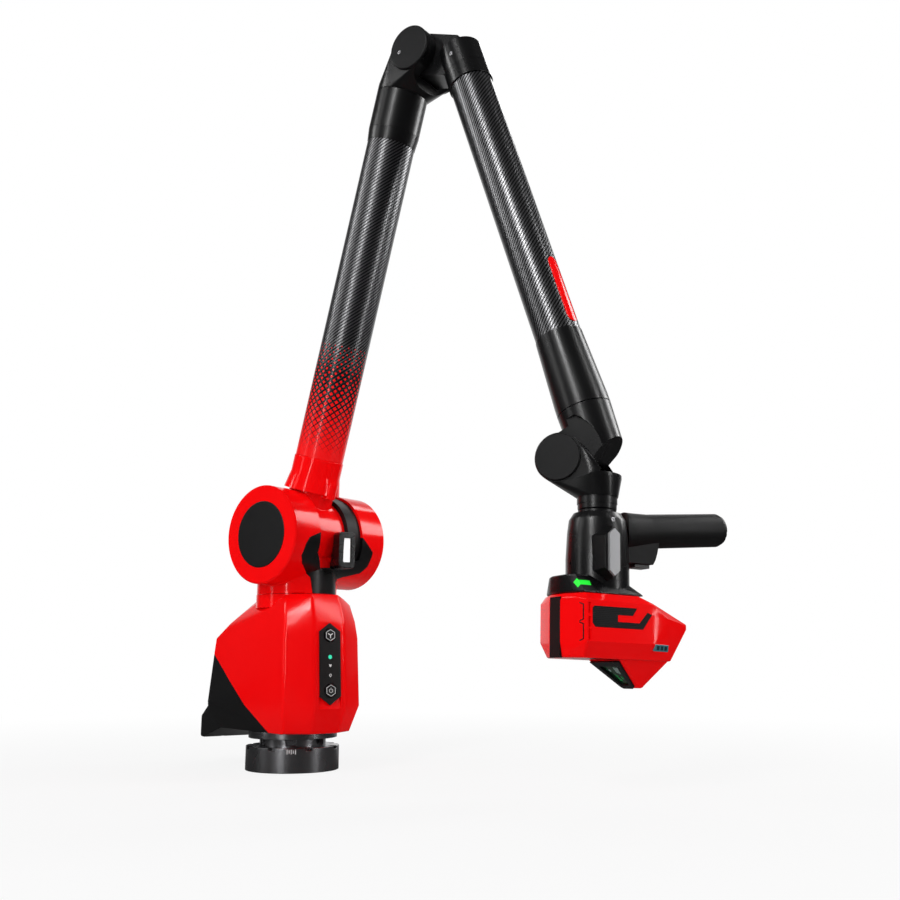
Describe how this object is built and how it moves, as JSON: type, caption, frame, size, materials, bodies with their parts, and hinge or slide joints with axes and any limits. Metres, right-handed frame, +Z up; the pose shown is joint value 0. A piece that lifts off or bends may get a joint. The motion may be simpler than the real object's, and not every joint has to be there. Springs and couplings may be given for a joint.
{
  "type": "portable measuring arm",
  "caption": "Articulated coordinate measuring arm: faceted base on a captive mount ring, carbon tubes with offset hinges, and a hand unit with pistol grip and laser scanner.",
  "frame": {"origin": "centre of the mount ring's bottom face, on the swivel axis", "axes": "+Z up along the swivel axis, +X the way the arm leans at rest, +Y along the shoulder hinge, away from the picture's camera"},
  "size_m": [0.609, 0.2069, 0.8212],
  "materials": {
    "red_paint": "gloss red lacquer",
    "black_gloss": "gloss black",
    "black_matte": "fine-grained matte black",
    "dark_metal": "dark anodised satin",
    "alloy": "machined",
    "steel": "ground",
    "carbon": "clear-coated twill carbon fibre",
    "silver_face": "satin silver",
    "white_light": "white diffuser",
    "green_light": "green diffuser",
    "window": "tinted window"
  },
  "bodies": {
    "base": {"base_housing": "red_paint", "rear_pod": "black_matte", "base_core": "alloy", "mount_pillar": "dark_metal", "control_panel": "black_matte", "panel_icons": "white_light", "status_led": "green_light", "swivel_bearings": "steel"},
    "ring": {"mount_ring": "dark_metal"},
    "mode_key": {"mode_button": "black_matte"},
    "power_key": {"power_button": "black_matte"},
    "shoulder": {"shoulder_fork": "red_paint", "swivel_spindle": "steel", "spindle_nut": "steel", "shoulder_caps": "black_matte", "shoulder_pin": "steel", "fork_trim": "black_matte", "drum_liner": "black_matte", "light_bezel": "black_gloss", "light_window": "white_light"},
    "upper_arm": {"shoulder_knuckle": "red_paint", "balance_spring": "steel", "upper_tube": "carbon", "upper_taper": "black_gloss", "upper_cuff": "black_gloss", "upper_bearing": "steel"},
    "elbow": {"elbow_fork": "black_gloss", "elbow_caps": "dark_metal", "elbow_pins": "steel", "elbow_screws": "steel", "upper_retainer": "steel"},
    "forearm": {"forearm_head": "black_gloss", "head_screw": "steel", "forearm_ring": "black_gloss", "forearm_tube": "carbon", "forearm_inlay": "red_paint", "forearm_sleeve": "black_gloss", "forearm_bearing": "steel"},
    "wrist_end": {"wrist_tongue_end": "black_gloss", "forearm_retainer": "steel"},
    "wrist": {"wrist_fork": "black_gloss", "wrist_caps": "dark_metal", "wrist_shaft": "steel", "neck_bearing": "steel"},
    "hand": {"hand_body": "black_gloss", "hand_retainer": "steel", "hand_screws": "steel", "grip": "black_matte", "trigger_housing": "black_matte", "scanner_cover": "black_gloss", "scanner_body": "red_paint", "scanner_strip": "black_matte", "side_mesh": "black_matte", "sensor_window": "window", "lens_frame": "black_gloss", "lens": "window", "laser_window": "window", "scanner_light": "green_light"},
    "side_key": {"side_button": "silver_face"},
    "trigger_key": {"trigger": "red_paint"}
  },
  "joints": [
    {"name": "mount_ring_spin", "type": "hinge", "parent": "base", "child": "ring", "pos_m": [0, 0, 0], "axis": [0, 0, 1], "continuous": true},
    {"name": "swivel", "type": "hinge", "parent": "base", "child": "shoulder", "pos_m": [0, 0, 0.191], "axis": [0, 0, 1], "continuous": true},
    {"name": "shoulder_tilt", "type": "hinge", "parent": "shoulder", "child": "upper_arm", "pos_m": [0.004, 0, 0.2557], "axis": [0, 1, 0], "range_deg": [-60, 27]},
    {"name": "upper_roll", "type": "hinge", "parent": "upper_arm", "child": "elbow", "pos_m": [0.15064, 0, 0.76209], "axis": [0.2782, 0, 0.9605], "continuous": true},
    {"name": "elbow_bend", "type": "hinge", "parent": "elbow", "child": "forearm", "pos_m": [0.18693, 0.00067, 0.79541], "axis": [-0.0251, 0.9997, 0.0073], "range_deg": [-120, 2.5]},
    {"name": "forearm_roll", "type": "hinge", "parent": "forearm", "child": "wrist_end", "pos_m": [0.37694, 0.00865, 0.35644], "axis": [0.3163, 0.0149, -0.9485], "continuous": true},
    {"name": "wrist_bend", "type": "hinge", "parent": "wrist_end", "child": "wrist", "pos_m": [0.36082, 0.00361, 0.3065], "axis": [-0.1748, 0.9837, -0.0429], "range_deg": [-15, 95]},
    {"name": "hand_roll", "type": "hinge", "parent": "wrist", "child": "hand", "pos_m": [0.38924, 0.00653, 0.25765], "axis": [-0.0028, -0.044, -0.999], "continuous": true},
    {"name": "mode_press", "type": "slide", "parent": "base", "child": "mode_key", "axis": [-0.9434, 0.3248, -0.0664], "range_m": [0, 0.0012], "stiffness_N_per_m": 900, "springref_m": -0.0008},
    {"name": "power_press", "type": "slide", "parent": "base", "child": "power_key", "axis": [-0.9434, 0.3248, -0.0664], "range_m": [0, 0.0012], "stiffness_N_per_m": 900, "springref_m": -0.0008},
    {"name": "side_press", "type": "slide", "parent": "hand", "child": "side_key", "axis": [-0.8931, 0.4495, -0.0173], "range_m": [0, 0.0015], "stiffness_N_per_m": 900, "springref_m": -0.001},
    {"name": "trigger_press", "type": "slide", "parent": "hand", "child": "trigger_key", "axis": [0.0028, 0.044, 0.999], "range_m": [0, 0.0025], "stiffness_N_per_m": 700, "springref_m": -0.001}
  ]
}
